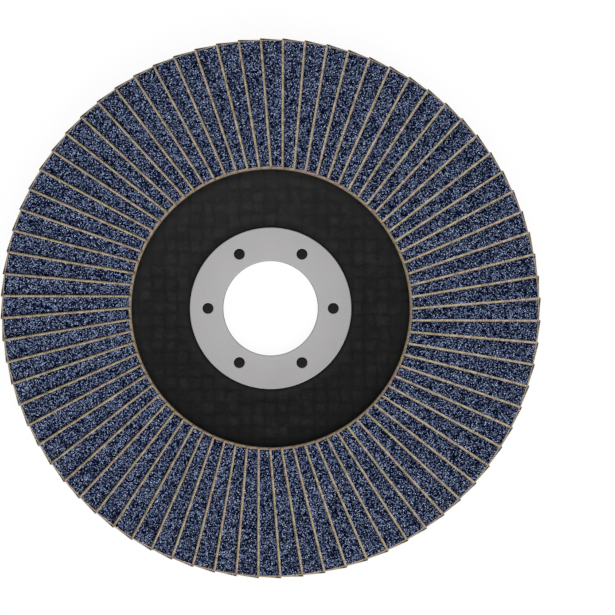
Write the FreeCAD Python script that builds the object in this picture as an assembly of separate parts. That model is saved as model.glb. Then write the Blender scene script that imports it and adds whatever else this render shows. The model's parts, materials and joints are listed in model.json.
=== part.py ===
import FreeCAD, Part
import math
import os

# Flap disc, 125 mm, with a dished glass-fibre backing plate.
# Millimetres, +Z up. The abrasive face looks up and the hub's back face lies on z = 0.
# The origin is on the bore axis, and the disc stands on its hub.

# Bore and centre ring: pressed steel, front flange, drawn collar, rolled lip at the back
bore_diameter = 22.23
ring_diameter = 38.1
collar_wall = 0.8
ring_thickness = 0.9
lip_width = 1.6
lip_thickness = 0.8
ring_edge_bevel = 0.25

# Holes in the ring, filled by the plate's moulded studs
stud_count = 6
stud_diameter = 2.5
stud_offset = 3.6
stud_recess = 0.12

# Backing plate: one moulded laminate with a sunk hub, a sloping web and a flat rim
hub_thickness = 3.2
hub_land = 2.4
dish_depth = 4.6
rim_thickness = 2.7
rim_lead = 2.0
web_bend_radius = 5.0
plate_edge_bevel = 0.7
ring_pocket_depth = 0.3
moulding_gap = 0.03

# Adhesive bed on the rim, with a fillet under the foot of each flap
bed_thickness = 0.8
bed_setback = 2.0
bed_edge_margin = 0.3
fillet_clearance = 0.3

# Flaps: woven cloth with a coat of grain, each lying on its clockwise neighbour.
# The disc turns anticlockwise as seen from above, so the flaps' free edges trail.
# The disc's nominal diameter is measured across the outer corners of the free edges.
disc_diameter = 125.0
flap_count = 76
flap_width = 11.5
cloth_thickness = 0.65
coat_thickness = 0.40
flap_gap = 0.03
flap_inner_reach = 32.35
flap_overhang = 9.5
edge_offset = 3.05
end_rake = 1.3
coat_free_margin = 0.32
coat_inner_margin = 0.55
coat_outer_margin = 0.35
first_flap_angle = -0.12
flaps_per_node = 2

# Heights and radii that follow from the sizes above
bore_radius = bore_diameter / 2
ring_radius = ring_diameter / 2
stud_circle_radius = bore_radius + stud_offset
collar_radius = bore_radius + collar_wall
lip_radius = collar_radius + lip_width
pocket_floor = hub_thickness - ring_pocket_depth
ring_front = pocket_floor + ring_thickness
rim_back = dish_depth
rim_front = rim_back + rim_thickness
bed_top = rim_front + bed_thickness
hub_flat_radius = ring_radius + hub_land
plate_radius = disc_diameter / 2 - flap_overhang

# Flap slope: the steepest overlap, at the inner end of the coat, leaves just the flap gap
flap_pitch = 360.0 / flap_count
pitch_sine = math.sin(math.radians(flap_pitch))
flap_thickness = cloth_thickness + coat_thickness
coat_inner_reach = flap_inner_reach + coat_inner_margin
slope_sine = (flap_thickness + flap_gap) / (coat_inner_reach * pitch_sine)
flap_slope = math.degrees(math.asin(slope_sine))
slope_cosine = math.sqrt(1.0 - slope_sine ** 2)
foot_offset = flap_width * slope_cosine - edge_offset
flap_outer_reach = math.sqrt((disc_diameter / 2) ** 2 - edge_offset ** 2)

# Resin fillets fill most of the space between one foot and the next, and the rim carries the bed
foot_overhang = flap_thickness * slope_sine
fillet_run = flap_inner_reach * pitch_sine - foot_overhang - fillet_clearance
fillet_rise = fillet_run * slope_sine / slope_cosine
fillet_end = foot_offset - fillet_run
bed_inner_radius = math.hypot(flap_inner_reach, fillet_end) - bed_edge_margin
bed_outer_radius = plate_radius - bed_setback
rim_start_radius = bed_inner_radius - rim_lead


def point(x, y, z=0.0):
    return FreeCAD.Vector(x, y, z)


def rounded_corner(before, corner, after, radius):
    """Tangent points and middle of the arc that rounds one corner of an outline."""
    to_before = (before - corner).normalize()
    to_after = (after - corner).normalize()
    half_angle = to_before.getAngle(to_after) / 2
    tangent = radius / math.tan(half_angle)
    bisector = (to_before + to_after).normalize()
    centre = corner + bisector * (radius / math.sin(half_angle))
    middle = centre - bisector * radius
    return corner + to_before * tangent, middle, corner + to_after * tangent


def turned_solid(outline):
    """Revolve a closed outline of (radius, height, corner radius) about the bore axis."""
    corners = [point(radius, 0, height) for radius, height, rounding in outline]
    edges = []
    last_end = None
    first_start = None
    for index, (radius, height, rounding) in enumerate(outline):
        corner = corners[index]
        start, end = corner, corner
        arc = None
        if rounding > 0:
            following = corners[(index + 1) % len(corners)]
            start, middle, end = rounded_corner(corners[index - 1], corner, following, rounding)
            arc = Part.Arc(start, middle, end).toShape()
        if last_end is None:
            first_start = start
        else:
            edges.append(Part.makeLine(last_end, start))
        if arc:
            edges.append(arc)
        last_end = end
    edges.append(Part.makeLine(last_end, first_start))
    face = Part.Face(Part.Wire(edges))
    return face.revolve(point(0, 0), point(0, 0, 1), 360)


def slab(corners, base, thickness):
    """A flat sheet of the given outline, lying at a height and thickened upwards."""
    points = [point(x, y, base) for x, y in corners]
    face = Part.Face(Part.makePolygon(points + points[:1]))
    return face.extrude(point(0, 0, thickness))


def turned_copy(shape, angle):
    """A copy of a shape, turned about the bore axis."""
    copy = shape.copy()
    copy.rotate(point(0, 0), point(0, 0, 1), angle)
    return copy


def stud_places():
    angles = [math.radians(index * 360.0 / stud_count) for index in range(stud_count)]
    radius = stud_circle_radius
    return [(radius * math.cos(angle), radius * math.sin(angle)) for angle in angles]


def make_centre_ring():
    """Front flange, collar through the hub and lip rolled over at the back, in one pressing."""
    bevel = ring_edge_bevel
    blank = turned_solid([
        (bore_radius, bevel, 0),
        (bore_radius, ring_front - bevel, 0),
        (bore_radius + bevel, ring_front, 0),
        (ring_radius - bevel, ring_front, 0),
        (ring_radius, ring_front - bevel, 0),
        (ring_radius, pocket_floor, 0),
        (collar_radius, pocket_floor, 0),
        (collar_radius, lip_thickness, 0),
        (lip_radius, lip_thickness, 0),
        (lip_radius, 0, 0),
        (bore_radius + bevel, 0, 0),
    ])
    punches = [
        Part.makeCylinder(stud_diameter / 2, ring_thickness, point(x, y, pocket_floor))
        for x, y in stud_places()
    ]
    return blank.cut(punches)


def make_backing_plate():
    """Dished laminate, moulded round the ring, with the studs that fill the ring's holes."""
    disc = turned_solid([
        (lip_radius + moulding_gap, 0, 0),
        (hub_flat_radius, 0, web_bend_radius + hub_thickness),
        (rim_start_radius, rim_back, web_bend_radius),
        (plate_radius - plate_edge_bevel, rim_back, 0),
        (plate_radius, rim_back + plate_edge_bevel, 0),
        (plate_radius, rim_front - plate_edge_bevel, 0),
        (plate_radius - plate_edge_bevel, rim_front, 0),
        (rim_start_radius, rim_front, web_bend_radius + rim_thickness),
        (hub_flat_radius, hub_thickness, web_bend_radius),
        (ring_radius + moulding_gap, hub_thickness, 0),
        (ring_radius + moulding_gap, pocket_floor, 0),
        (collar_radius + moulding_gap, pocket_floor, 0),
        (collar_radius + moulding_gap, lip_thickness, 0),
        (lip_radius + moulding_gap, lip_thickness, 0),
    ])
    stud_height = ring_thickness - stud_recess
    studs = [
        Part.makeCylinder(stud_diameter / 2 - moulding_gap, stud_height, point(x, y, pocket_floor))
        for x, y in stud_places()
    ]
    return disc.fuse(studs).removeSplitter()


def make_flap():
    """One flap in its place at angle 0: the cloth and its coat of grain are one solid.

    It is drawn flat, with its foot on the X axis and its free edge towards -Y, then tipped up.
    """
    rake = math.tan(math.radians(end_rake))
    foot_end = flap_outer_reach + flap_width * rake
    cloth = slab([
        (flap_inner_reach, 0),
        (flap_inner_reach, -flap_width),
        (flap_outer_reach, -flap_width),
        (foot_end, 0),
    ], 0, cloth_thickness)

    coat_edge = flap_width - coat_free_margin
    coat_corner = flap_outer_reach + coat_free_margin * rake - coat_outer_margin
    coat = slab([
        (coat_inner_reach, 0),
        (coat_inner_reach, -coat_edge),
        (coat_corner, -coat_edge),
        (foot_end - coat_outer_margin, 0),
    ], cloth_thickness, coat_thickness)

    flap = cloth.fuse(coat)
    flap.rotate(point(0, 0), point(1, 0, 0), -flap_slope)
    flap.translate(point(0, foot_offset, bed_top))
    return flap


def make_adhesive_bed():
    """Flat ring of resin, with a wedge of it drawn up under the foot of each flap."""
    outer_reach = math.sqrt((bed_outer_radius - bed_edge_margin) ** 2 - foot_offset ** 2)
    profile = Part.makePolygon([
        point(flap_inner_reach, foot_offset, bed_top),
        point(flap_inner_reach, fillet_end, bed_top),
        point(flap_inner_reach, fillet_end, bed_top + fillet_rise),
        point(flap_inner_reach, foot_offset, bed_top),
    ])
    fillet = Part.Face(profile).extrude(point(outer_reach - flap_inner_reach, 0, 0))
    ring = Part.makeCylinder(bed_outer_radius, bed_thickness, point(0, 0, rim_front))
    ring = ring.cut(Part.makeCylinder(bed_inner_radius, bed_thickness, point(0, 0, rim_front)))
    fillets = [
        turned_copy(fillet, first_flap_angle + index * flap_pitch)
        for index in range(flap_count)
    ]
    return ring.fuse(fillets)


def save(name, shape):
    shape.exportStep(os.path.join("parts", name + ".step"))


os.makedirs("parts", exist_ok=True)
save("backing_plate", make_backing_plate())
save("centre_ring", make_centre_ring())
save("adhesive_bed", make_adhesive_bed())

flap = make_flap()
for first in range(0, flap_count, flaps_per_node):
    group = range(first, min(first + flaps_per_node, flap_count))
    flaps = [turned_copy(flap, first_flap_angle + index * flap_pitch) for index in group]
    numbers = "_".join(f"{index + 1:02d}" for index in group)
    save("flaps_" + numbers, Part.makeCompound(flaps))
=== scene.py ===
import json
import math

import bmesh
import bpy
import numpy as np
from mathutils import Matrix, Vector

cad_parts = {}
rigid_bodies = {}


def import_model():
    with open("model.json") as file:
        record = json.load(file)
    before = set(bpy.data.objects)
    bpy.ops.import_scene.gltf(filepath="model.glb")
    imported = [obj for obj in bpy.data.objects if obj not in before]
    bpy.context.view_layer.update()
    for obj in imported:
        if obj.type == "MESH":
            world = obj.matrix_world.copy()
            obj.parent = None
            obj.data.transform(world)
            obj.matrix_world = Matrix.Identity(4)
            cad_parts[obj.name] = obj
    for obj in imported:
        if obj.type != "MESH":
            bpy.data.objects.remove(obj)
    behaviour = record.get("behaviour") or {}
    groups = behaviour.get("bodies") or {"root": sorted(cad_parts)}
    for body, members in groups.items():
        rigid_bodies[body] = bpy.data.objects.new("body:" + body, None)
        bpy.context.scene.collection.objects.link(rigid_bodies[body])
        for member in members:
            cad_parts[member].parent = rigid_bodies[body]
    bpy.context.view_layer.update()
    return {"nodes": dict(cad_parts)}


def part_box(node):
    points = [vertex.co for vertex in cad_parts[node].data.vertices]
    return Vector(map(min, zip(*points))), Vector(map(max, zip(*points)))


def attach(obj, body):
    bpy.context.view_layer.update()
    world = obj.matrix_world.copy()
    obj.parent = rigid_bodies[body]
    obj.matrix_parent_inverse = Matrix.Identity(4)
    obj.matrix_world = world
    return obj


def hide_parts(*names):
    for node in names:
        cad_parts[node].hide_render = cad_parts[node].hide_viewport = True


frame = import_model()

# The centre ring is pressed from thin steel and plated a pale grey. Its flat flange takes the
# clamping nut, its collar lines the bore and is rolled over at the back, and six punched holes
# with rolled-in edges let the plate's resin through.

mm = 0.001
ring_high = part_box("centre_ring")[1]
ring_radius = ring_high.x
ring_front = ring_high.z
bore_radius = 11.115 * mm
collar_wall = 0.8 * mm
ring_thickness = 0.9 * mm
pocket_floor = ring_front - ring_thickness
lip_width = 1.6 * mm
lip_thickness = 0.8 * mm
lip_rounding = 0.2 * mm
collar_radius = bore_radius + collar_wall
lip_radius = collar_radius + lip_width
ring_edge_rounding = 0.16 * mm
ring_trim = 0.03 * mm
ring_sides = 240
stud_count = 6
stud_offset = 3.6 * mm
stud_circle_radius = bore_radius + stud_offset
hole_radius = 1.25 * mm
hole_roll = 0.1 * mm
hole_roll_middle = 0.3 * hole_roll
hole_sides = 40
punch_reach = 0.2 * mm
# Painted highlight on the ring: its tone at the bore and at the edge, and its rise per metre sideways.
painted_highlight_at_bore = 0.34
painted_highlight_at_edge = 0.25
painted_highlight_rise_per_metre = (-2.0, 4.1, 0)
dull_plating = (0.192, 0.187, 0.188)
bright_plating = (0.320, 0.314, 0.315)


def rounded(outline, arc_steps=4, flat_lead=0.06 * mm):
    """Points of a closed outline of (radius, height, corner radius), with its corners as arcs.

    A point just before and after each arc keeps the flats beside it flat in the light.
    """
    places = []
    count = len(outline)
    for index, (radius, height, rounding) in enumerate(outline):
        corner = Vector((radius, height))
        if rounding == 0:
            places.append(corner)
            continue
        to_before = (Vector(outline[index - 1][:2]) - corner).normalized()
        to_after = (Vector(outline[(index + 1) % count][:2]) - corner).normalized()
        half_angle = to_before.angle(to_after) / 2
        reach = rounding / math.tan(half_angle)
        middle = corner + (to_before + to_after).normalized() * (rounding / math.sin(half_angle))
        start = corner + to_before * reach - middle
        end = corner + to_after * reach - middle
        places.append(corner + to_before * (reach + flat_lead))
        for step in range(arc_steps + 1):
            places.append(middle + start.slerp(end, step / arc_steps) * rounding)
        places.append(corner + to_after * (reach + flat_lead))
    return places


def turned_mesh(name, places, sides, material):
    """Revolve a closed outline of (radius, height) about the bore axis."""
    points = []
    for side in range(sides):
        angle = 2 * math.pi * side / sides
        turn = (math.cos(angle), math.sin(angle))
        points += [(place[0] * turn[0], place[0] * turn[1], place[1]) for place in places]
    count = len(places)
    faces = []
    for side in range(sides):
        this, following = side * count, (side + 1) % sides * count
        for index in range(count):
            after = (index + 1) % count
            faces.append((this + index, following + index, following + after, this + after))
    mesh = bpy.data.meshes.new(name)
    mesh.from_pydata(points, [], faces)
    return finished(mesh, material)


def finished(mesh, material, crease=math.radians(32)):
    """Merge a mesh's doubles, turn its faces outwards and smooth it up to its creases."""
    shape = bmesh.new()
    shape.from_mesh(mesh)
    bmesh.ops.remove_doubles(shape, verts=shape.verts, dist=1e-7)
    bmesh.ops.recalc_face_normals(shape, faces=shape.faces)
    shape.to_mesh(mesh)
    shape.free()
    mesh.shade_smooth()
    mesh.set_sharp_from_angle(angle=crease)
    if not mesh.materials:
        mesh.materials.append(material)
    return mesh


def placed(mesh, name=None):
    """An object at the origin that shows a mesh."""
    thing = bpy.data.objects.new(name or mesh.name, mesh)
    bpy.context.scene.collection.objects.link(thing)
    return thing


def taken_off(thing):
    """Remove an object that was only needed to make another."""
    bpy.data.objects.remove(thing)


def as_modified(thing):
    """Give an object the mesh that its modifiers make, and remove them."""
    graph = bpy.context.evaluated_depsgraph_get()
    mesh = bpy.data.meshes.new_from_object(
        thing.evaluated_get(graph), preserve_all_data_layers=True, depsgraph=graph)
    thing.modifiers.clear()
    thing.data = mesh
    mesh.name = thing.name
    return thing


class Recipe:
    """A node tree being written: each call adds a node, sets it and links what feeds it."""

    def __init__(self, tree):
        self.tree = tree

    def node(self, kind, settings=None, **feeds):
        made = self.tree.nodes.new(kind)
        for key, value in (settings or {}).items():
            setattr(made, key, value)
        for key, feed in feeds.items():
            self.feed(made.inputs[key.replace("_", " ")], feed)
        return made

    def feed(self, socket, feed):
        if isinstance(feed, bpy.types.NodeSocket):
            self.tree.links.new(feed, socket)
        elif feed is not None:
            socket.default_value = feed

    def maths(self, operation, first, second=None, third=None):
        made = self.tree.nodes.new("ShaderNodeMath")
        made.operation = operation
        for socket, feed in zip(made.inputs, (first, second, third)):
            self.feed(socket, feed)
        return made.outputs[0]

    def vector(self, operation, first, second=None):
        made = self.node("ShaderNodeVectorMath", {"operation": operation})
        for socket, feed in zip(made.inputs, (first, second)):
            self.feed(socket, feed)
        return made.outputs["Value" if operation in ("LENGTH", "DOT_PRODUCT") else "Vector"]

    def ramp(self, feed, stops):
        made = self.tree.nodes.new("ShaderNodeValToRGB")
        self.feed(made.inputs[0], feed)
        keys = made.color_ramp.elements
        while len(keys) < len(stops):
            keys.new(0.5)
        for key, (position, colour) in zip(keys, stops):
            key.position = position
            key.color = (*colour, 1)
        return made.outputs[0]

    def mixed(self, share, first, second, blend="MIX"):
        made = self.tree.nodes.new("ShaderNodeMix")
        made.data_type = "RGBA"
        made.blend_type = blend
        for socket, feed in zip((made.inputs[0], made.inputs[6], made.inputs[7]), (share, first, second)):
            if isinstance(feed, tuple):
                feed = (*feed, 1)
            self.feed(socket, feed)
        return made.outputs[2]

    def place(self):
        return self.node("ShaderNodeTexCoord").outputs["Object"]

    def attribute(self, name, output="Fac"):
        return self.node("ShaderNodeAttribute", {"attribute_name": name}).outputs[output]

    def noise(self, place, scale, detail, roughness=0.5):
        return self.node("ShaderNodeTexNoise", Vector=place, Scale=scale, Detail=detail,
                         Roughness=roughness).outputs[0]

    def bump(self, shader, height, strength, distance, invert=False):
        made = self.node("ShaderNodeBump", {"invert": invert}, Strength=strength, Distance=distance,
                         Height=height)
        self.feed(shader.inputs["Normal"], made.outputs[0])


def new_material(name, roughness, metallic=0.0, specular=0.5):
    """A material with one shader, whose constant values sit on the shader itself."""
    material = bpy.data.materials.new(name)
    material.use_nodes = True
    shader = material.node_tree.nodes["Principled BSDF"]
    shader.inputs["Roughness"].default_value = roughness
    shader.inputs["Metallic"].default_value = metallic
    shader.inputs["Specular IOR Level"].default_value = specular
    return material, shader, Recipe(material.node_tree)


def new_shape_tree(name, **inputs):
    """A node tree that takes a shape and gives one, with the names of its inputs by their kind."""
    tree = bpy.data.node_groups.new(name, "GeometryNodeTree")
    face = tree.interface
    face.new_socket(name="Geometry", in_out="INPUT", socket_type="NodeSocketGeometry")
    for kind, labels in inputs.items():
        for label in labels:
            face.new_socket(name=label, in_out="INPUT", socket_type="NodeSocket" + kind)
    face.new_socket(name="Geometry", in_out="OUTPUT", socket_type="NodeSocketGeometry")
    return tree, Recipe(tree), tree.nodes.new("NodeGroupInput").outputs


def copies_round_bore():
    """Node tree: copies of one shape, turned about the bore axis by equal steps."""
    tree, recipe, given = new_shape_tree("copies_round_bore", Int=["Count"],
                                         Float=["First Angle", "Step Angle"], Material=["Material"])
    points = recipe.node("GeometryNodePoints", Count=given["Count"])
    index = recipe.node("GeometryNodeInputIndex").outputs[0]
    angle = recipe.maths("MULTIPLY_ADD", index, given["Step Angle"], given["First Angle"])
    turn = recipe.node("ShaderNodeCombineXYZ", Z=angle)
    rotation = recipe.node("FunctionNodeEulerToRotation", Euler=turn.outputs[0])
    copies = recipe.node("GeometryNodeInstanceOnPoints", Points=points.outputs[0],
                         Instance=given["Geometry"], Rotation=rotation.outputs[0])
    real = recipe.node("GeometryNodeRealizeInstances", Geometry=copies.outputs[0])
    coloured = recipe.node("GeometryNodeSetMaterial", Geometry=real.outputs[0],
                           Material=given["Material"])
    out = tree.nodes.new("NodeGroupOutput")
    recipe.feed(out.inputs[0], coloured.outputs[0])
    return tree


def add_recipe(thing, tree, **values):
    """Put a node tree on an object, with its named inputs set."""
    modifier = thing.modifiers.new(tree.name, "NODES")
    modifier.node_group = tree
    sockets = {item.name.replace(" ", "_"): item.identifier
               for item in tree.interface.items_tree
               if item.item_type == "SOCKET" and item.in_out == "INPUT"}
    for name, value in values.items():
        modifier[sockets[name]] = value


round_bore = copies_round_bore()


def all_round(mesh, count, material, first_angle=0.0):
    """One object with evenly spaced copies of a mesh all round the bore."""
    thing = placed(mesh)
    add_recipe(thing, round_bore, Count=count, First_Angle=first_angle,
               Step_Angle=2 * math.pi / count, Material=material)
    return as_modified(thing)


def ring_steel():
    """Matt plated steel: faint turned and cloudy marks, and a painted highlight that makes it a shade
    lighter towards the bore and towards one side of the disc.
    """
    material, shader, recipe = new_material("plated_steel", roughness=0.5, metallic=0.75)
    place = recipe.place()
    radius = recipe.vector("LENGTH", recipe.vector("MULTIPLY", place, (1, 1, 0)))
    turned = recipe.node("ShaderNodeTexNoise", {"noise_dimensions": "1D"},
                         W=radius, Scale=5200.0, Detail=2.0).outputs[0]
    cloudy = recipe.noise(place, scale=190.0, detail=4.0, roughness=0.6)
    speck = recipe.noise(place, scale=2600.0, detail=2.0)
    # Painted highlight: the grey lightens towards the bore and towards minus x and plus y.
    inwards = recipe.node("ShaderNodeMapRange", Value=radius, From_Min=bore_radius,
                          From_Max=ring_radius, To_Min=painted_highlight_at_bore, To_Max=painted_highlight_at_edge)
    painted_highlight_sideways = recipe.vector("DOT_PRODUCT", place, painted_highlight_rise_per_metre)
    fine_marks = recipe.maths("MULTIPLY_ADD", turned, 0.08, recipe.maths("MULTIPLY", speck, 0.16))
    marks = recipe.maths("MULTIPLY_ADD", cloudy, 0.16, fine_marks)
    painted_highlight = recipe.maths("ADD", inwards.outputs[0], painted_highlight_sideways)
    colour = recipe.ramp(recipe.maths("ADD", marks, painted_highlight),
                         [(0.2, dull_plating), (0.8, bright_plating)])
    recipe.feed(shader.inputs["Base Color"], colour)
    recipe.feed(shader.inputs["Roughness"], recipe.maths("MULTIPLY_ADD", cloudy, 0.16, 0.42))
    recipe.bump(shader, recipe.maths("ADD", turned, speck), strength=0.12, distance=0.02 * mm)
    return material


ring_material = ring_steel()
ring_outline = rounded([
    (bore_radius, 0, lip_rounding),
    (bore_radius, ring_front, ring_edge_rounding),
    (ring_radius - ring_trim, ring_front, ring_edge_rounding),
    (ring_radius - ring_trim, pocket_floor, 0),
    (collar_radius, pocket_floor, 0),
    (collar_radius, lip_thickness, 0),
    (lip_radius, lip_thickness, 0),
    (lip_radius, 0, lip_rounding),
])
ring = placed(turned_mesh("centre_ring_plated", ring_outline, ring_sides, ring_material))

punch_outline = rounded([
    (0, pocket_floor - punch_reach, 0),
    (0, ring_front + punch_reach, 0),
    (hole_radius + 2 * hole_roll, ring_front + punch_reach, 0),
    (hole_radius + 2 * hole_roll, ring_front, 0),
    (hole_radius + hole_roll, ring_front, 0),
    (hole_radius + hole_roll_middle, ring_front - hole_roll_middle, 0),
    (hole_radius, ring_front - hole_roll, 0),
    (hole_radius, pocket_floor - punch_reach, 0),
])
punch_mesh = turned_mesh("ring_punch", punch_outline, hole_sides, ring_material)
punch_mesh.transform(Matrix.Translation((stud_circle_radius, 0, 0)))
punches = all_round(punch_mesh, stud_count, ring_material)
cut = ring.modifiers.new("holes", "BOOLEAN")
cut.operation = "DIFFERENCE"
cut.solver = "EXACT"
cut.object = punches
as_modified(ring)
taken_off(punches)
finished(ring.data, ring_material)
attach(ring, "root")
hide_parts("centre_ring")

# The backing plate is layers of woven glass mesh in black phenolic resin, pressed hot into a
# dish. The mesh shows as faint squares through the resin on both faces, and the resin that
# flowed up through the ring's holes stands in them as six small studs.

plate_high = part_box("backing_plate")[1]
plate_radius = plate_high.x
rim_front = plate_high.z
hub_thickness = 3.2 * mm
hub_land = 2.4 * mm
hub_flat_radius = ring_radius + hub_land
dish_depth = 4.6 * mm
moulding_gap = 0.03 * mm
web_bend_radius = 5.0 * mm
plate_edge_rounding = 0.7 * mm
pocket_rounding = 0.2 * mm
rim_start_radius = 30.4 * mm
plate_sides = 330
plate_step = 0.7 * mm
mesh_pitch = 2.92 * mm
mesh_gap_share = 0.24
mesh_wander = 0.10 * mm
wander_lengths = [length * mm for length in (3.1, 4.3, 6.1, 9.7, 15.0)]
mesh_depth = 0.05 * mm
crown_share = 0.6
resin_fill = 0.2
resin_fill_change = 0.15
most_resin_fill = 0.6
dimmest_square = 0.7
fibres_along = 550.0
fibres_across = 2300.0
mesh_on_flats = 1.5
# How much painted shade darkens the flats.
painted_shade_on_flats = 0.85
web_slope_cosine = 0.91
plain_rim_edge = 0.9 * mm
plain_hub_edge = 0.5 * mm
plain_round_ring = 0.4 * mm
relief_fade = 1.0 * mm
pocket_slack = 0.1 * mm
stud_radius = hole_radius - moulding_gap
stud_recess = 0.12 * mm
stud_top = pocket_floor + ring_thickness - stud_recess
stud_edge_drop = 0.05 * mm
stud_edge_rounding = 0.2 * mm
stud_crest_rounding = 0.4 * mm
stud_dimple = 0.02 * mm
stud_sides = 28


def wandering(x, y, seed):
    """Smooth uneven values over a plane, from about -2 to 2, that repeat nowhere on the plate."""
    random = np.random.RandomState(seed)
    total = np.zeros_like(x)
    for length in wander_lengths:
        turn, phase = random.uniform(0, 2 * math.pi, 2)
        total += np.sin((x * math.cos(turn) + y * math.sin(turn)) * 2 * math.pi / length + phase)
    return total


def square_chance(column, row):
    """A value from 0 to 1 for each square of the mesh, without a pattern and the same each run."""
    column_turn, row_turn, spread = 12.99, 78.23, 43758.55
    return np.sin(column_turn * column + row_turn * row) * spread % 1


def glass_mesh(x, y):
    """Plain weave of flat glass yarns: its height from 0 to 1, its direction, and how it shows."""
    column_place = (x + mesh_wander * wandering(x, y, seed=1)) / mesh_pitch
    row_place = (y + mesh_wander * wandering(x, y, seed=2)) / mesh_pitch
    column, row = np.round(column_place), np.round(row_place)

    def yarn(offset):
        inside = np.clip((0.5 - np.abs(offset)) / mesh_gap_share, 0, 1)
        return inside * inside * (3 - 2 * inside)

    warp, weft = yarn(column_place - column), yarn(row_place - row)
    lengthwise = (column + row) % 2
    crown = np.where(lengthwise, warp, weft)
    filled = np.clip(resin_fill + resin_fill_change * wandering(x, y, seed=3), 0, most_resin_fill)
    woven = (1 - crown_share) * np.minimum(warp, weft) + crown_share * crown
    height = filled + (1 - filled) * woven
    showing = height * (dimmest_square + (1 - dimmest_square) * square_chance(column, row))
    return height, lengthwise, showing


def stepped(places, longest, least_radius, most_radius):
    """The outline with long runs between two radii divided, so that it can carry relief."""
    divided = []
    for index, place in enumerate(places):
        following = places[(index + 1) % len(places)]
        divided.append(place)
        inside = min(place.x, following.x) >= least_radius and max(place.x, following.x) <= most_radius
        steps = math.ceil((following - place).length / longest) if inside else 1
        divided += [place.lerp(following, step / steps) for step in range(1, steps)]
    return divided


def black_laminate():
    """Satin black resin over glass mesh: greyer where a yarn lies close, streaked along the yarn,
    and darker on the flats by painted shade.
    """
    material, shader, recipe = new_material("laminate_skin", roughness=0.5, specular=0.1)
    place = recipe.place()
    shown = recipe.attribute("mesh_showing")
    lengthwise = recipe.attribute("mesh_lengthwise")
    streaks = []
    for stretch in ((fibres_along, fibres_across, fibres_along),
                    (fibres_across, fibres_along, fibres_along)):
        streaks.append(recipe.noise(recipe.vector("MULTIPLY", place, stretch), scale=1.0, detail=2.0))
    streak = recipe.node("ShaderNodeMix", Factor=lengthwise, A=streaks[0], B=streaks[1]).outputs[0]
    cloudy = recipe.noise(place, scale=330.0, detail=4.0, roughness=0.65)
    speck = recipe.noise(place, scale=2400.0, detail=1.0)
    tufts = recipe.maths("MULTIPLY", shown, recipe.maths("MULTIPLY_ADD", cloudy, 1.05, -0.1))
    fine = recipe.maths("MULTIPLY_ADD", streak, 0.6, recipe.maths("MULTIPLY", speck, 0.25))
    tone = recipe.maths("ADD", tufts, fine)
    colour = recipe.ramp(tone, [(0.13, (0.0002, 0.0002, 0.0002)), (0.31, (0.0026, 0.0026, 0.0027)),
                                (0.66, (0.0073, 0.0073, 0.0073)), (0.96, (0.0170, 0.0170, 0.0167))])
    recipe.feed(shader.inputs["Base Color"], colour)
    recipe.feed(shader.inputs["Roughness"], recipe.maths("MULTIPLY_ADD", streak, 0.2, 0.42))
    recipe.bump(shader, streak, strength=0.5, distance=0.04 * mm)
    return material


plate_material = black_laminate()
plate_outline = rounded([
    (lip_radius + moulding_gap, 0, 0),
    (hub_flat_radius, 0, web_bend_radius + hub_thickness),
    (rim_start_radius, dish_depth, web_bend_radius),
    (plate_radius, dish_depth, plate_edge_rounding),
    (plate_radius, rim_front, plate_edge_rounding),
    (rim_start_radius, rim_front, web_bend_radius + rim_front - dish_depth),
    (hub_flat_radius, hub_thickness, web_bend_radius),
    (ring_radius + moulding_gap, hub_thickness, pocket_rounding),
    (ring_radius + moulding_gap, pocket_floor, 0),
    (collar_radius + moulding_gap, pocket_floor, 0),
    (collar_radius + moulding_gap, lip_thickness, 0),
    (lip_radius + moulding_gap, lip_thickness, 0),
], arc_steps=6)
plate_outline = stepped(plate_outline, plate_step, lip_radius, plate_radius)
plate_mesh = turned_mesh("backing_plate_laminate", plate_outline, plate_sides, plate_material)

places = np.array([vertex.co for vertex in plate_mesh.vertices])
normals = np.array([vertex.normal for vertex in plate_mesh.vertices])
radii = np.hypot(places[:, 0], places[:, 1])
relief, lengthwise, showing = glass_mesh(places[:, 0], places[:, 1])
clear_of_edges = np.clip((plate_radius - plain_rim_edge - radii) / relief_fade, 0, 1)
clear_of_hub = np.clip((radii - lip_radius - plain_hub_edge) / relief_fade, 0, 1)
near_ring = (places[:, 2] > pocket_floor - pocket_slack) & (radii < ring_radius + plain_round_ring)
strength = clear_of_edges * clear_of_hub * np.where(near_ring, 0, 1)
places -= normals * (mesh_depth * strength * (1 - relief))[:, None]
plate_mesh.vertices.foreach_set("co", places.ravel())

# Painted shade darkens the flats, which face straight up, and the mesh stands out more on them.
flatness = np.clip((normals[:, 2] - web_slope_cosine) / (1 - web_slope_cosine), 0, 1)
showing = showing * strength * (1 + (mesh_on_flats - 1) * flatness) - painted_shade_on_flats * flatness
for name, values in (("mesh_showing", showing), ("mesh_lengthwise", lengthwise)):
    attribute = plate_mesh.attributes.new(name, "FLOAT", "POINT")
    attribute.data.foreach_set("value", values.astype(np.float32))
plate = placed(plate_mesh)

stud_outline = rounded([
    (0, pocket_floor, 0),
    (stud_radius, pocket_floor, 0),
    (stud_radius, stud_top - stud_edge_drop, stud_edge_rounding),
    (0.5 * stud_radius, stud_top, stud_crest_rounding),
    (0, stud_top - stud_dimple, 0),
])
stud_mesh = turned_mesh("ring_stud", stud_outline, stud_sides, plate_material)
stud_mesh.transform(Matrix.Translation((stud_circle_radius, 0, 0)))
studs = all_round(stud_mesh, stud_count, plate_material)


def joined(first, second):
    """One object that holds the closed shells of two."""
    with bpy.context.temp_override(active_object=first, object=first,
                                   selected_objects=[first, second],
                                   selected_editable_objects=[first, second]):
        bpy.ops.object.join()
    return first


joined(plate, studs)
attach(plate, "root")
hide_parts("backing_plate")

# The adhesive bed is filled resin poured as a ring on the plate's rim. The flaps were pressed
# into it while it was wet, so it stands up in a ridge under each foot, and it set hard with a
# lumpy skin and an uneven line round both sides.

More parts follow.
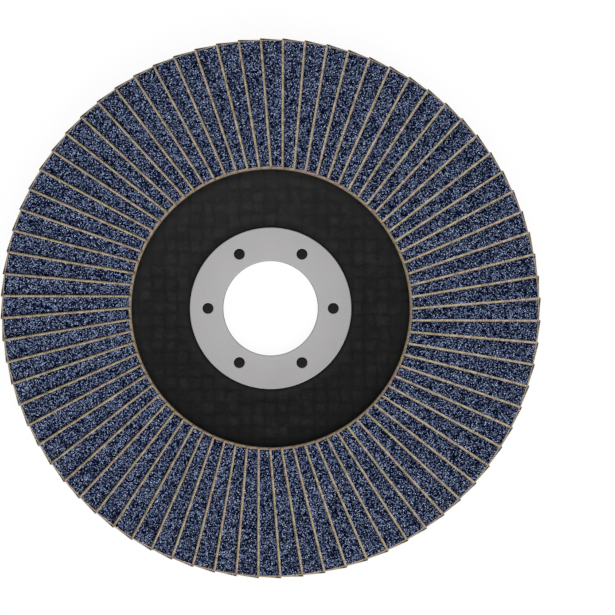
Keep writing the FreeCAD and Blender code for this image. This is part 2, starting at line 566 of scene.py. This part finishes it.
bed_outer_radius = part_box("adhesive_bed")[1].x
flap_count = 76
flap_pitch = 2 * math.pi / flap_count
first_flap_angle = math.radians(-0.12)
cloth_thickness = 0.65 * mm
coat_thickness = 0.40 * mm
flap_gap = 0.03 * mm
flap_width = 11.5 * mm
flap_inner_reach = 32.35 * mm
coat_inner_margin = 0.55 * mm
edge_offset = 3.05 * mm
disc_radius = 62.5 * mm
flap_thickness = cloth_thickness + coat_thickness
slope_sine = (flap_thickness + flap_gap) / ((flap_inner_reach + coat_inner_margin) * math.sin(flap_pitch))
slope_cosine = math.sqrt(1 - slope_sine ** 2)
foot_offset = flap_width * slope_cosine - edge_offset
bed_thickness = 0.8 * mm
bed_top = rim_front + bed_thickness
bed_edge_margin = 0.3 * mm
bed_rounding = 0.35 * mm
fillet_clearance = 0.3 * mm
fillet_run = flap_inner_reach * math.sin(flap_pitch) - flap_thickness * slope_sine - fillet_clearance
fillet_rise = fillet_run * slope_sine / slope_cosine
fillet_end = foot_offset - fillet_run
fillet_root = bed_top - 0.3 * mm
fillet_unevenness = 0.25 * mm
crest_drop = 0.6
bed_inner_radius = math.hypot(flap_inner_reach, fillet_end) - bed_edge_margin
fillet_outer_reach = math.sqrt((bed_outer_radius - bed_edge_margin) ** 2 - foot_offset ** 2)
bed_sides = 456
bed_unevenness = 0.22 * mm
flap_ripple = 0.5
ripple_drift = 1.1
drifts_round = 3
other_ripples = ((31, 0.3, 2.0), (133, 0.2, 0.7))
fillet_steps = 22
fillet_corners = 4
fillet_random = np.random.RandomState(11)


def cured_resin():
    """Dark filled resin: cloudy brown-black, glossy in the hollows, with small bubbles."""
    material, shader, recipe = new_material("bed_resin", roughness=0.35, specular=0.4)
    place = recipe.place()
    cloudy = recipe.noise(place, scale=420.0, detail=5.0, roughness=0.6)
    bubbles = recipe.node("ShaderNodeTexVoronoi", Vector=place, Scale=1600.0).outputs["Distance"]
    colour = recipe.ramp(cloudy, [(0.3, (0.018, 0.014, 0.011)), (0.75, (0.060, 0.046, 0.034))])
    recipe.feed(shader.inputs["Base Color"], colour)
    recipe.feed(shader.inputs["Roughness"], recipe.maths("MULTIPLY_ADD", cloudy, 0.4, 0.18))
    height = recipe.maths("ADD", cloudy, recipe.maths("MULTIPLY", bubbles, 0.3))
    recipe.bump(shader, height, strength=0.6, distance=0.1 * mm)
    return material


bed_material = cured_resin()
bed_outline = rounded([
    (bed_inner_radius, rim_front, 0),
    (bed_outer_radius, rim_front, 0),
    (bed_outer_radius, bed_top, bed_rounding),
    (bed_inner_radius, bed_top, bed_rounding),
], arc_steps=3)
bed_mesh = turned_mesh("adhesive_bed_resin", bed_outline, bed_sides, bed_material)
places = np.array([vertex.co for vertex in bed_mesh.vertices])
angles = np.arctan2(places[:, 1], places[:, 0])
radii = np.hypot(places[:, 0], places[:, 1])
middle_radius = (bed_inner_radius + bed_outer_radius) / 2
wander = flap_ripple * np.sin(flap_count * angles + ripple_drift * np.sin(drifts_round * angles))
for waves, share, phase in other_ripples:
    wander += share * np.sin(waves * angles + phase)
inwards = np.where(radii > middle_radius, -1, 1) * bed_unevenness * (0.5 + 0.5 * wander)
places[:, :2] *= ((radii + inwards) / radii)[:, None]
bed_mesh.vertices.foreach_set("co", places.ravel())
bed = placed(bed_mesh)

fillet_points, fillet_faces = [], []
for step in range(fillet_steps + 1):
    reach = flap_inner_reach + (fillet_outer_reach - flap_inner_reach) * step / fillet_steps
    slack = fillet_random.uniform(0, fillet_unevenness)
    fillet_points += [
        (reach, foot_offset, fillet_root),
        (reach, fillet_end + slack, fillet_root),
        (reach, fillet_end + slack, bed_top + fillet_rise - slack * crest_drop),
        (reach, foot_offset, bed_top),
    ]
for step in range(fillet_steps):
    near, far = fillet_corners * step, fillet_corners * (step + 1)
    for corner in range(fillet_corners):
        after = (corner + 1) % fillet_corners
        fillet_faces.append((near + corner, near + after, far + after, far + corner))
for end in (0, fillet_corners * fillet_steps):
    fillet_faces.append(tuple(end + corner for corner in range(fillet_corners)))
fillet_mesh = bpy.data.meshes.new("resin_fillet")
fillet_mesh.from_pydata(fillet_points, [], fillet_faces)
fillets = all_round(finished(fillet_mesh, bed_material), flap_count, bed_material, first_flap_angle)
joined(bed, fillets)
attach(bed, "root")
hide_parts("adhesive_bed")

# Each flap is a strip of stiff woven cloth, tan where it is cut, with a coat of dark blue
# crystals held in resin on its upper side. The cloth shows as a pale line along the free edge
# and both ends, where the coat has chipped back from the cut. Its foot is set in the resin bed.

flaps_per_piece = 2
flap_outer_reach = math.sqrt(disc_radius ** 2 - edge_offset ** 2)
end_rake = math.tan(math.radians(1.3))
coat_free_margin = 0.32 * mm
coat_outer_margin = 0.35 * mm
foot_end = flap_outer_reach + flap_width * end_rake
yarn_pitch = 0.56 * mm
yarn_depth = 0.07 * mm
least_setback = 0.6
cut_bevel = 0.03 * mm
worn_bevel = 0.18 * mm
resin_thickness = 0.15 * mm
resin_bevel = 0.05 * mm
resin_step = 0.7 * mm
resin_chipping = 0.10 * mm
coat_edge = flap_width - coat_free_margin
coat_start = flap_inner_reach + coat_inner_margin
coat_end = flap_outer_reach + coat_free_margin * end_rake - coat_outer_margin
coat_taper = 0.045
coat_foot = 0.05 * mm
coat_foot_margin = 0.12 * mm
coat_limit = foot_end - coat_foot_margin
flap_slope = math.asin(slope_sine)
strip_share = math.sin(flap_pitch) / slope_cosine
strip_margin = 0.15 * mm
end_band = 0.5 * mm
crystal_corners = (5, 4, 6, 5, 5)
crystal_tries = 40
crystal_reach = 0.18 * mm
crystal_stretch = (0.85, 1.1)
smallest_crystal = 0.75
largest_crystal = 1.1
crystal_lift = 0.03 * mm
crystal_height = cloth_thickness + resin_thickness + crystal_lift
crystal_sunk = 0.03 * mm
crystal_raised = 0.02 * mm
crystal_margin = 0.08 * mm
crystal_spacing = 0.332 * mm
row_spacing = 0.866
scatter_along = 0.75
scatter_down = 0.65
crystal_columns = math.ceil((foot_end - coat_start) / crystal_spacing)
crystal_rows = math.ceil(flap_width / (row_spacing * crystal_spacing))
yellow_tan = (0.496, 0.436, 0.258)
pink_tan = (0.546, 0.410, 0.326)
# The brown that the cloth darkens to at both ends; at the outer end it is painted shade.
end_darkening_brown = (0.20, 0.13, 0.085)
deepest_end_darkening = 0.5
painted_end_shade_reach = 0.25 * mm
painted_end_shade_core = 0.03 * mm
inner_darkening_reach = 0.9 * mm
inner_darkening_core = 0.1 * mm
flap_random = np.random.RandomState(76)


def flap_place(along, across, above):
    """Where a point of the flap at angle 0 stands in the disc.

    It is given along the flap from the bore axis, across it from its foot, and above its underside.
    """
    return (along, foot_offset - across * slope_cosine + above * slope_sine,
            bed_top + across * slope_sine + above * slope_cosine)


def sides_of(corners):
    """Each side of a closed outline, as its start and its end."""
    return list(zip(corners, corners[1:] + corners[:1]))


def cut_line(start, end, step, depth, alternate=False):
    """Points from start towards end, each set in from the line: by turns, or by chance."""
    start, end = Vector(start), Vector(end)
    count = max(1, round((end - start).length / step))
    inwards = (end - start).normalized().orthogonal()
    line = []
    for index in range(count):
        share = (index % 2 if alternate else flap_random.uniform()) * flap_random.uniform(least_setback, 1.0)
        setback = 0 if index == 0 else depth * share
        line.append((start.lerp(end, index / count) + inwards * setback, inwards))
    return line


def cut_slab(lines, levels):
    """Closed slab with ragged sides. Levels are (height, inset), from the bottom to the top."""
    outline = [place for line in lines for place in line]
    count = len(outline)
    points = [(place + inwards * inset, height) for height, inset in levels for place, inwards in outline]
    faces = [tuple(range(count))[::-1]]
    for level in range(len(levels) - 1):
        for index in range(count):
            after = (index + 1) % count
            low, high = level * count, (level + 1) * count
            faces.append((low + index, low + after, high + after, high + index))
    faces.append(tuple(range((len(levels) - 1) * count, len(levels) * count)))
    return [(place.x, place.y, height) for place, height in points], faces


def plain_flap(cloth_material):
    """The cloth and the resin skin of one flap, at angle 0, with each point's place on the flap."""
    foot, *cut_sides = sides_of([(flap_inner_reach, 0), (foot_end, 0), (flap_outer_reach, flap_width),
                                 (flap_inner_reach, flap_width)])
    lines = [cut_line(*foot, step=foot_end, depth=0)]
    lines += [cut_line(*side, yarn_pitch / 2, yarn_depth, alternate=True) for side in cut_sides]
    cloth_points, cloth_faces = cut_slab(lines, [
        (0, cut_bevel), (cut_bevel, 0), (cloth_thickness - worn_bevel, 0), (cloth_thickness, worn_bevel)])

    # The coat's outer end tapers out from the free edge until it meets the line of the cloth's cut.
    meeting = (coat_edge * coat_taper + coat_end - coat_limit) / (coat_taper - end_rake)
    corners = [(coat_start, coat_foot), (coat_limit, coat_foot),
               (coat_limit - meeting * end_rake, meeting), (coat_end, coat_edge), (coat_start, coat_edge)]
    lines = [cut_line(*side, resin_step, resin_chipping) for side in sides_of(corners)]
    resin_points, resin_faces = cut_slab(lines, [
        (cloth_thickness, 0), (cloth_thickness + resin_thickness, resin_bevel)])

    offset = len(cloth_points)
    places = cloth_points + resin_points
    mesh = bpy.data.meshes.new("plain_flap")
    mesh.from_pydata([flap_place(*place) for place in places], [],
                     cloth_faces + [tuple(offset + index for index in face) for face in resin_faces])
    on_flap = mesh.attributes.new("flap_place", "FLOAT_VECTOR", "POINT")
    on_flap.data.foreach_set("vector", np.array(places, np.float32).ravel())
    coat = mesh.attributes.new("coat", "BOOLEAN", "FACE")
    for face in range(len(cloth_faces), len(mesh.polygons)):
        coat.data[face].value = True
    return finished(mesh, cloth_material, crease=math.radians(50))


def crystals(crystal_material):
    """A few sharp, blocky grains, each the hull of well spread points on a ball."""
    kinds = bpy.data.collections.new("crystals")
    bpy.context.scene.collection.children.link(kinds)
    out_of_reach = 9
    for kind, corners in enumerate(crystal_corners):
        shape = bmesh.new()
        best_gap = 0
        for attempt in range(crystal_tries):
            spots = flap_random.normal(size=(corners, 3))
            spots /= np.linalg.norm(spots, axis=1)[:, None]
            gaps = np.linalg.norm(spots[:, None] - spots[None], axis=2) + out_of_reach * np.eye(corners)
            if gaps.min() > best_gap:
                best_gap, best_spots = gaps.min(), spots
        for spot in best_spots:
            shape.verts.new(Vector(spot) * crystal_reach * flap_random.uniform(*crystal_stretch))
        bmesh.ops.convex_hull(shape, input=shape.verts)
        bmesh.ops.recalc_face_normals(shape, faces=shape.faces)
        mesh = bpy.data.meshes.new(f"crystal_{kind}")
        shape.to_mesh(mesh)
        shape.free()
        mesh.materials.append(crystal_material)
        kinds.objects.link(bpy.data.objects.new(mesh.name, mesh))
    return kinds


def coat_of_crystals():
    """Node tree: sets the resin's colour and packs crystals over the part of the coat that shows.

    Crystals stand in staggered rows along each flap, each put out of line by chance.
    """
    tree, recipe, given = new_shape_tree(
        "coat_of_crystals",
        Int=["Flaps", "Rows", "Columns", "Seed"],
        Float=["First Angle", "Step Angle", "Spacing", "Row Spacing", "Scatter Along", "Scatter Down",
               "Coat Edge", "Coat Start", "Coat End", "Coat Taper", "Coat Limit", "End Rake",
               "Strip Share", "Strip Margin", "End Band", "Height", "Sunk", "Raised", "Foot Offset",
               "Foot Height", "Slope", "Smallest", "Largest"],
        Collection=["Crystals"],
        Material=["Resin", "Crystal"])
    maths = recipe.maths

    def chance(low, high, salt, kind="FLOAT"):
        """A value for each point, between two limits. The salt keeps one draw apart from the next."""
        node = recipe.node("FunctionNodeRandomValue", {"data_type": kind})
        live = [socket for socket in node.inputs if socket.enabled]
        recipe.feed(live[0], low)
        recipe.feed(live[1], high)
        recipe.feed(node.inputs["Seed"], maths("ADD", given["Seed"], salt))
        return next(socket for socket in node.outputs if socket.enabled)

    per_flap = maths("MULTIPLY", given["Rows"], given["Columns"])
    points = recipe.node("GeometryNodePoints", Count=maths("MULTIPLY", per_flap, given["Flaps"]))
    index = recipe.node("GeometryNodeInputIndex").outputs[0]
    flap = maths("FLOOR", maths("DIVIDE", maths("ADD", index, 0.5), per_flap))
    cell = maths("SUBTRACT", index, maths("MULTIPLY", flap, per_flap))
    row = maths("FLOOR", maths("DIVIDE", maths("ADD", cell, 0.5), given["Columns"]))
    column = maths("SUBTRACT", cell, maths("MULTIPLY", row, given["Columns"]))
    stagger = maths("MULTIPLY", maths("MODULO", row, 2.0), 0.5)
    steps_along = maths("ADD", maths("ADD", column, stagger), chance(0.0, given["Scatter Along"], 1000.0))
    steps_down = maths("MULTIPLY_ADD", row, given["Row Spacing"],
                       chance(0.0, given["Scatter Down"], 2000.0))
    along = maths("MULTIPLY_ADD", steps_along, given["Spacing"], given["Coat Start"])
    across = maths("SUBTRACT", given["Coat Edge"], maths("MULTIPLY", steps_down, given["Spacing"]))
    above = maths("ADD", given["Height"],
                  chance(maths("MULTIPLY", given["Sunk"], -1.0), given["Raised"], 3000.0))
    down_slope = maths("SUBTRACT", maths("MULTIPLY", above, maths("SINE", given["Slope"])),
                       maths("MULTIPLY", across, maths("COSINE", given["Slope"])))
    up_slope = maths("ADD", maths("MULTIPLY", above, maths("COSINE", given["Slope"])),
                     maths("MULTIPLY", across, maths("SINE", given["Slope"])))
    place = recipe.node("ShaderNodeCombineXYZ", X=along,
                        Y=maths("ADD", given["Foot Offset"], down_slope),
                        Z=maths("ADD", given["Foot Height"], up_slope))
    turned = recipe.node("ShaderNodeVectorRotate", {"rotation_type": "Z_AXIS"},
                         Vector=place.outputs[0],
                         Angle=maths("MULTIPLY_ADD", flap, given["Step Angle"], given["First Angle"]))
    spots = recipe.node("GeometryNodeSetPosition", Geometry=points.outputs[0],
                        Position=turned.outputs[0])

    strip_low = maths("SUBTRACT", given["Coat Edge"],
                      maths("MULTIPLY_ADD", along, given["Strip Share"], given["Strip Margin"]))
    tapered = maths("MULTIPLY_ADD", maths("SUBTRACT", given["Coat Edge"], across), given["Coat Taper"],
                    given["Coat End"])
    limit = maths("SUBTRACT", given["Coat Limit"], maths("MULTIPLY", across, given["End Rake"]))
    coat_end = maths("MINIMUM", tapered, limit)
    off_end = maths("GREATER_THAN", along, coat_end)
    near_start = maths("LESS_THAN", along, maths("ADD", given["Coat Start"], given["End Band"]))
    near_end = maths("GREATER_THAN", along, maths("SUBTRACT", coat_end, given["End Band"]))
    on_strip = maths("GREATER_THAN", across, strip_low)
    in_sight = maths("MAXIMUM", on_strip, maths("MAXIMUM", near_start, near_end))
    shown = maths("MULTIPLY", in_sight, maths("GREATER_THAN", across, 0.0))
    full_turn = (2 * math.pi, 2 * math.pi, 2 * math.pi)
    kinds = recipe.node("GeometryNodeCollectionInfo", Collection=given["Crystals"],
                        Separate_Children=True, Reset_Children=True)
    turn = recipe.node("FunctionNodeEulerToRotation",
                       Euler=chance((0.0, 0.0, 0.0), full_turn, 4000.0, "FLOAT_VECTOR"))
    grains = recipe.node("GeometryNodeInstanceOnPoints", Points=spots.outputs[0],
                         Selection=maths("MULTIPLY", shown, maths("SUBTRACT", 1.0, off_end)),
                         Instance=kinds.outputs[0], Pick_Instance=True,
                         Instance_Index=chance(0, len(crystal_corners) - 1, 5000.0, "INT"),
                         Rotation=turn.outputs[0],
                         Scale=chance(given["Smallest"], given["Largest"], 6000.0))
    # Each grain gets a tone by chance; the crystal material turns its highest values into painted glints.
    toned = recipe.node("GeometryNodeStoreNamedAttribute", {"data_type": "FLOAT", "domain": "INSTANCE"},
                        Geometry=grains.outputs[0], Name="grain_tone", Value=chance(0.0, 1.0, 7000.0))
    real = recipe.node("GeometryNodeRealizeInstances", Geometry=toned.outputs[0])
    crystal_coloured = recipe.node("GeometryNodeSetMaterial", Geometry=real.outputs[0],
                                   Material=given["Crystal"])
    coated = recipe.node("GeometryNodeInputNamedAttribute", {"data_type": "BOOLEAN"}, Name="coat")
    resin_coloured = recipe.node("GeometryNodeSetMaterial", Geometry=given["Geometry"],
                                 Selection=coated.outputs["Attribute"], Material=given["Resin"])
    both = recipe.node("GeometryNodeJoinGeometry")
    recipe.feed(both.inputs[0], resin_coloured.outputs[0])
    recipe.feed(both.inputs[0], crystal_coloured.outputs[0])
    out = tree.nodes.new("NodeGroupOutput")
    recipe.feed(out.inputs[0], both.outputs[0])
    return tree


def flap_cloth():
    """Stiff tan cloth in a plain weave, darkened towards brown at both ends,
    with painted shade at the outer end.
    """
    material, shader, recipe = new_material("flap_cloth", roughness=0.8, specular=0.2)
    place = recipe.place()
    parts = recipe.node("ShaderNodeSeparateXYZ", Vector=recipe.attribute("flap_place", "Vector"))
    along, across = parts.outputs["X"], parts.outputs["Y"]
    wave = 2 * math.pi / yarn_pitch
    warp = recipe.maths("SINE", recipe.maths("MULTIPLY", along, wave))
    weft = recipe.maths("SINE", recipe.maths("MULTIPLY", across, wave))
    weave = recipe.maths("MULTIPLY", warp, weft)
    patchy = recipe.noise(place, scale=1100.0, detail=2.0, roughness=0.6)
    hue = recipe.noise(place, scale=300.0, detail=2.0)
    tan = recipe.ramp(hue, [(0.38, yellow_tan), (0.62, pink_tan)])
    tone = recipe.maths("MULTIPLY_ADD", weave, 0.2, patchy)
    shade = recipe.ramp(tone, [(0.22, (0.32, 0.31, 0.30)), (0.62, (1.04, 1.04, 1.04)),
                               (0.8, (1.2, 1.2, 1.2))])
    woven = recipe.mixed(1.0, tan, shade, "MULTIPLY")
    from_end = recipe.maths("SUBTRACT", recipe.maths("MULTIPLY_ADD", across, end_rake, along), foot_end)
    # Painted shade: the outer cut end darkens towards brown over its last quarter millimetre.
    painted_end_shade = recipe.node("ShaderNodeMapRange", Value=from_end, From_Min=-painted_end_shade_reach,
                          From_Max=-painted_end_shade_core, To_Max=deepest_end_darkening)
    # The cloth also darkens towards brown near its inner end.
    inner_darkening = recipe.node("ShaderNodeMapRange", Value=along, From_Min=flap_inner_reach + inner_darkening_reach,
                         From_Max=flap_inner_reach + inner_darkening_core, To_Max=deepest_end_darkening)
    end_darkening = recipe.maths("ADD", painted_end_shade.outputs[0], inner_darkening.outputs[0])
    colour = recipe.mixed(end_darkening, woven, end_darkening_brown)
    recipe.feed(shader.inputs["Base Color"], colour)
    height = recipe.maths("MULTIPLY_ADD", weave, 0.5, patchy)
    recipe.bump(shader, height, strength=0.7, distance=0.08 * mm)
    return material


def coat_resin():
    """The resin between the crystals: almost black blue, full of fines of the same grain."""
    material, shader, recipe = new_material("coat_resin", roughness=0.6, specular=0.03)
    place = recipe.place()
    fines = recipe.node("ShaderNodeTexVoronoi", Vector=place, Scale=3200.0)
    tone = recipe.node("ShaderNodeSeparateXYZ", Vector=fines.outputs["Color"]).outputs["X"]
    grain = recipe.ramp(tone, [(0.0, (0.000, 0.002, 0.012)), (0.58, (0.002, 0.006, 0.030)),
                               (0.75, (0.072, 0.098, 0.202)), (1.0, (0.270, 0.345, 0.545))])
    gap = recipe.ramp(fines.outputs["Distance"], [(0.35, (1.0, 1.0, 1.0)), (0.75, (0.1, 0.1, 0.12))])
    recipe.feed(shader.inputs["Base Color"], recipe.mixed(1.0, grain, gap, "MULTIPLY"))
    recipe.bump(shader, fines.outputs["Distance"], strength=0.8, distance=0.1 * mm, invert=True)
    return material


def blue_crystal():
    """Fused zirconia-alumina grain: dark to pale grey blue, grain by grain, with matt facets;
    the palest tones are partly painted glints.
    """
    material, shader, recipe = new_material("blue_crystal", roughness=0.5, specular=0.03)
    # The palest stops stand in for glints off facets: painted highlight over the grains' own blues.
    colour = recipe.ramp(recipe.attribute("grain_tone"), [
        (0.0, (0.000, 0.002, 0.014)), (0.45, (0.003, 0.007, 0.038)), (0.58, (0.108, 0.145, 0.282)),
        (0.8, (0.360, 0.450, 0.695)), (1.0, (0.650, 0.770, 1.000))])
    recipe.feed(shader.inputs["Base Color"], colour)
    return material


map_gap = 0.3 * mm
map_column = foot_end - flap_inner_reach + 2 * cloth_thickness + map_gap
map_row = flap_width + 2 * cloth_thickness + map_gap
map_rows = 4
map_side = flaps_per_piece * map_column
level_slack = 0.01 * mm
crystal_cell = 0.49 * mm
crystal_face_in_cell = np.array([(0.1, 0.1), (0.9, 0.1), (0.1, 0.9)])


def numbers(items, name, kind, width=1):
    """One value, or a row of values, for each item of a mesh."""
    values = np.empty(len(items) * width, kind)
    items.foreach_get(name, values)
    return values.reshape(-1, width) if width > 1 else values


def add_flat_map(pair):
    """UV map on which no two faces of different colours share a place.

    Each flap has a column, with rows for the cloth's upper side, with its cut sides folded out, the
    cloth's underside, and the resin's two sides. Above them each crystal, of one colour all over, has
    a cell.
    """
    mesh = pair.data
    corners = numbers(mesh.loops, "vertex_index", np.int32)
    firsts = numbers(mesh.polygons, "loop_start", np.int32)
    counts = numbers(mesh.polygons, "loop_total", np.int32)
    slots = numbers(mesh.polygons, "material_index", np.int32)
    tones = numbers(mesh.attributes["grain_tone"].data, "value", np.float32)
    on_flap = numbers(mesh.attributes["flap_place"].data, "vector", np.float32, 3)
    names = [material.name for material in mesh.materials]
    in_crystal = slots == names.index(crystal_material.name)
    in_resin = slots == names.index(resin_material.name)

    of_flap = np.ones(len(mesh.vertices), bool)
    of_flap[corners[np.repeat(in_crystal, counts)]] = False
    order = np.cumsum(of_flap) - 1
    column = order[corners[firsts]] * flaps_per_piece // of_flap.sum()
    middle = np.add.reduceat(on_flap[corners], firsts) / counts[:, None]
    top = np.where(in_resin, cloth_thickness + resin_thickness, cloth_thickness)
    under = middle[:, 2] < np.where(in_resin, cloth_thickness + level_slack, cut_bevel)
    row = under + 2 * in_resin
    along, across = middle[:, 0] - flap_inner_reach, middle[:, 1]
    past_sides = np.stack([along, foot_end - flap_inner_reach - along, across, flap_width - across])
    ways = np.array([(-1, 0), (1, 0), (0, -1), (0, 1)])[np.argmin(past_sides, axis=0)]
    folded = np.where(under, 0, 1)[:, None] * ways

    face = np.repeat(np.arange(len(counts)), counts)
    spots = on_flap[corners, :2] - (flap_inner_reach, 0) + cloth_thickness
    spots += folded[face] * (top[face] - on_flap[corners, 2])[:, None]
    spots += np.stack([column * map_column, row * map_row], axis=1)[face]

    which = np.unique(tones[corners[firsts]], return_inverse=True)[1]
    cells = int(map_side / crystal_cell)
    cell = np.stack([which % cells, which // cells + map_rows * map_row / crystal_cell], axis=1)
    corner = crystal_face_in_cell[(np.arange(len(face)) - firsts[face]) % 3]
    spots = np.where(in_crystal[face][:, None], (cell[face] + corner) * crystal_cell, spots)
    flat_map = mesh.uv_layers.new(name="OFBake")
    flat_map.uv.foreach_set("vector", (spots / map_side).astype(np.float32).ravel())


cloth_material, resin_material, crystal_material = flap_cloth(), coat_resin(), blue_crystal()
crystal_shapes = crystals(crystal_material)
crystal_coat = coat_of_crystals()
flap_mesh = plain_flap(cloth_material)
flap_nodes = sorted(name for name in frame["nodes"] if name.startswith("flaps_"))
for piece, node in enumerate(flap_nodes):
    pair = placed(flap_mesh.copy(), node + "_coated")
    first_angle = first_flap_angle + piece * flaps_per_piece * flap_pitch
    add_recipe(pair, round_bore, Count=flaps_per_piece, Step_Angle=flap_pitch,
               First_Angle=first_angle, Material=cloth_material)
    add_recipe(pair, crystal_coat, Flaps=flaps_per_piece, Rows=crystal_rows, Columns=crystal_columns,
               Seed=piece, First_Angle=first_angle, Step_Angle=flap_pitch, Spacing=crystal_spacing,
               Row_Spacing=row_spacing, Scatter_Along=scatter_along, Scatter_Down=scatter_down,
               Coat_Edge=coat_edge - crystal_margin, Coat_Start=coat_start + crystal_margin,
               Coat_End=coat_end - crystal_margin, Coat_Taper=coat_taper,
               Coat_Limit=coat_limit - crystal_margin, End_Rake=end_rake, Strip_Share=strip_share,
               Strip_Margin=strip_margin, End_Band=end_band, Height=crystal_height,
               Sunk=crystal_sunk, Raised=crystal_raised, Foot_Offset=foot_offset, Foot_Height=bed_top,
               Slope=flap_slope, Smallest=smallest_crystal, Largest=largest_crystal,
               Crystals=crystal_shapes, Resin=resin_material, Crystal=crystal_material)
    as_modified(pair)
    add_flat_map(pair)
    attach(pair, "root")
    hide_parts(node)
for crystal in list(crystal_shapes.objects):
    taken_off(crystal)
bpy.data.collections.remove(crystal_shapes)

# The floor is a plain pale sheet. The camera, and what mirrors it, see it near white, with the
# disc's soft shadow kept, and it lights the disc from below as a pale table would.

floor_reach = 3.0
floor_drop = 0.05 * mm
floor_colour = (0.9, 0.9, 0.9, 1)
floor_whiteness = 0.92
floor_glow = 1.02


def seen_directly(recipe):
    """1 for rays from the camera, a mirror or glass, and 0 for the rest."""
    path = recipe.node("ShaderNodeLightPath").outputs
    mirrored = recipe.maths("MAXIMUM", path["Is Glossy Ray"], path["Is Transmission Ray"])
    return recipe.maths("MAXIMUM", path["Is Camera Ray"], mirrored)


floor_material, floor_shader, recipe = new_material("pale_floor", roughness=0.9, specular=0.0)
floor_shader.inputs["Base Color"].default_value = floor_colour
glow = recipe.node("ShaderNodeEmission", Strength=floor_glow)
shown_floor = recipe.node("ShaderNodeMixShader")
recipe.feed(shown_floor.inputs[0], recipe.maths("MULTIPLY", seen_directly(recipe), floor_whiteness))
recipe.feed(shown_floor.inputs[1], floor_shader.outputs[0])
recipe.feed(shown_floor.inputs[2], glow.outputs[0])
recipe.feed(floor_material.node_tree.nodes["Material Output"].inputs["Surface"], shown_floor.outputs[0])
floor_mesh = bpy.data.meshes.new("floor")
floor_corners = [(x * floor_reach, y * floor_reach, -floor_drop)
                 for x, y in ((-1, -1), (1, -1), (1, 1), (-1, 1))]
floor_mesh.from_pydata(floor_corners, [], [(0, 1, 2, 3)])
floor_mesh.materials.append(floor_material)
floor = placed(floor_mesh)

# The light is a white studio all round and one large soft lamp, high up over the picture's lower
# edge and a little to its right.

studio_light = 0.45
lamp_light = 0.62
lamp_distance = 3.0
lamp_size = 1.8
lamp_height_angle = math.radians(67)
lamp_side_angle = math.radians(-76)

world = bpy.data.worlds.new("studio")
bpy.context.scene.world = world
world.use_nodes = True
recipe = Recipe(world.node_tree)
backdrop = recipe.maths("MULTIPLY_ADD", seen_directly(recipe), 1.0 - studio_light, studio_light)
background = world.node_tree.nodes["Background"]
background.inputs["Color"].default_value = (1, 1, 1, 1)
recipe.feed(background.inputs["Strength"], backdrop)

lamp_data = bpy.data.lights.new("softbox", "AREA")
lamp_data.shape = "SQUARE"
lamp_data.size = lamp_size
# This power makes a white surface that faces the lamp as bright as lamp_light, at any distance.
lamp_data.energy = lamp_light * math.pi ** 2 * lamp_distance ** 2
lamp = bpy.data.objects.new("softbox", lamp_data)
bpy.context.scene.collection.objects.link(lamp)
lamp.location = lamp_distance * Vector((
    math.cos(lamp_height_angle) * math.cos(lamp_side_angle),
    math.cos(lamp_height_angle) * math.sin(lamp_side_angle),
    math.sin(lamp_height_angle)))
lamp.rotation_euler = lamp.location.to_track_quat("Z", "Y").to_euler()

# The camera looks straight down the bore axis, from as far as the bore's and the flaps' sizes in
# the picture give, and its view is shifted so that the disc stands left of the middle.

picture_side = 615
disc_centre_px = (270.62, 308.31)
edge_circle_px = 268.97
bore_circle_px = 47.12
bore_edge_height = 0.25 * mm
sensor_width = 36.0
edge_scale_px = edge_circle_px / disc_radius
bore_scale_px = bore_circle_px / bore_radius
free_edge_height = bed_top + flap_width * slope_sine
edge_over_bore = free_edge_height - bore_edge_height
camera_clearance = edge_over_bore * bore_scale_px / (edge_scale_px - bore_scale_px)

camera_data = bpy.data.cameras.new("studio_camera")
camera_data.sensor_width = sensor_width
camera_data.lens = edge_scale_px * camera_clearance * sensor_width / picture_side
camera_data.shift_x = (picture_side / 2 - disc_centre_px[0]) / picture_side
camera_data.shift_y = (disc_centre_px[1] - picture_side / 2) / picture_side
camera_data.clip_start = 0.01
camera = bpy.data.objects.new("studio_camera", camera_data)
bpy.context.scene.collection.objects.link(camera)
camera.location = (0, 0, free_edge_height + camera_clearance)
bpy.context.scene.camera = camera
bpy.context.scene.view_settings.view_transform = "Standard"
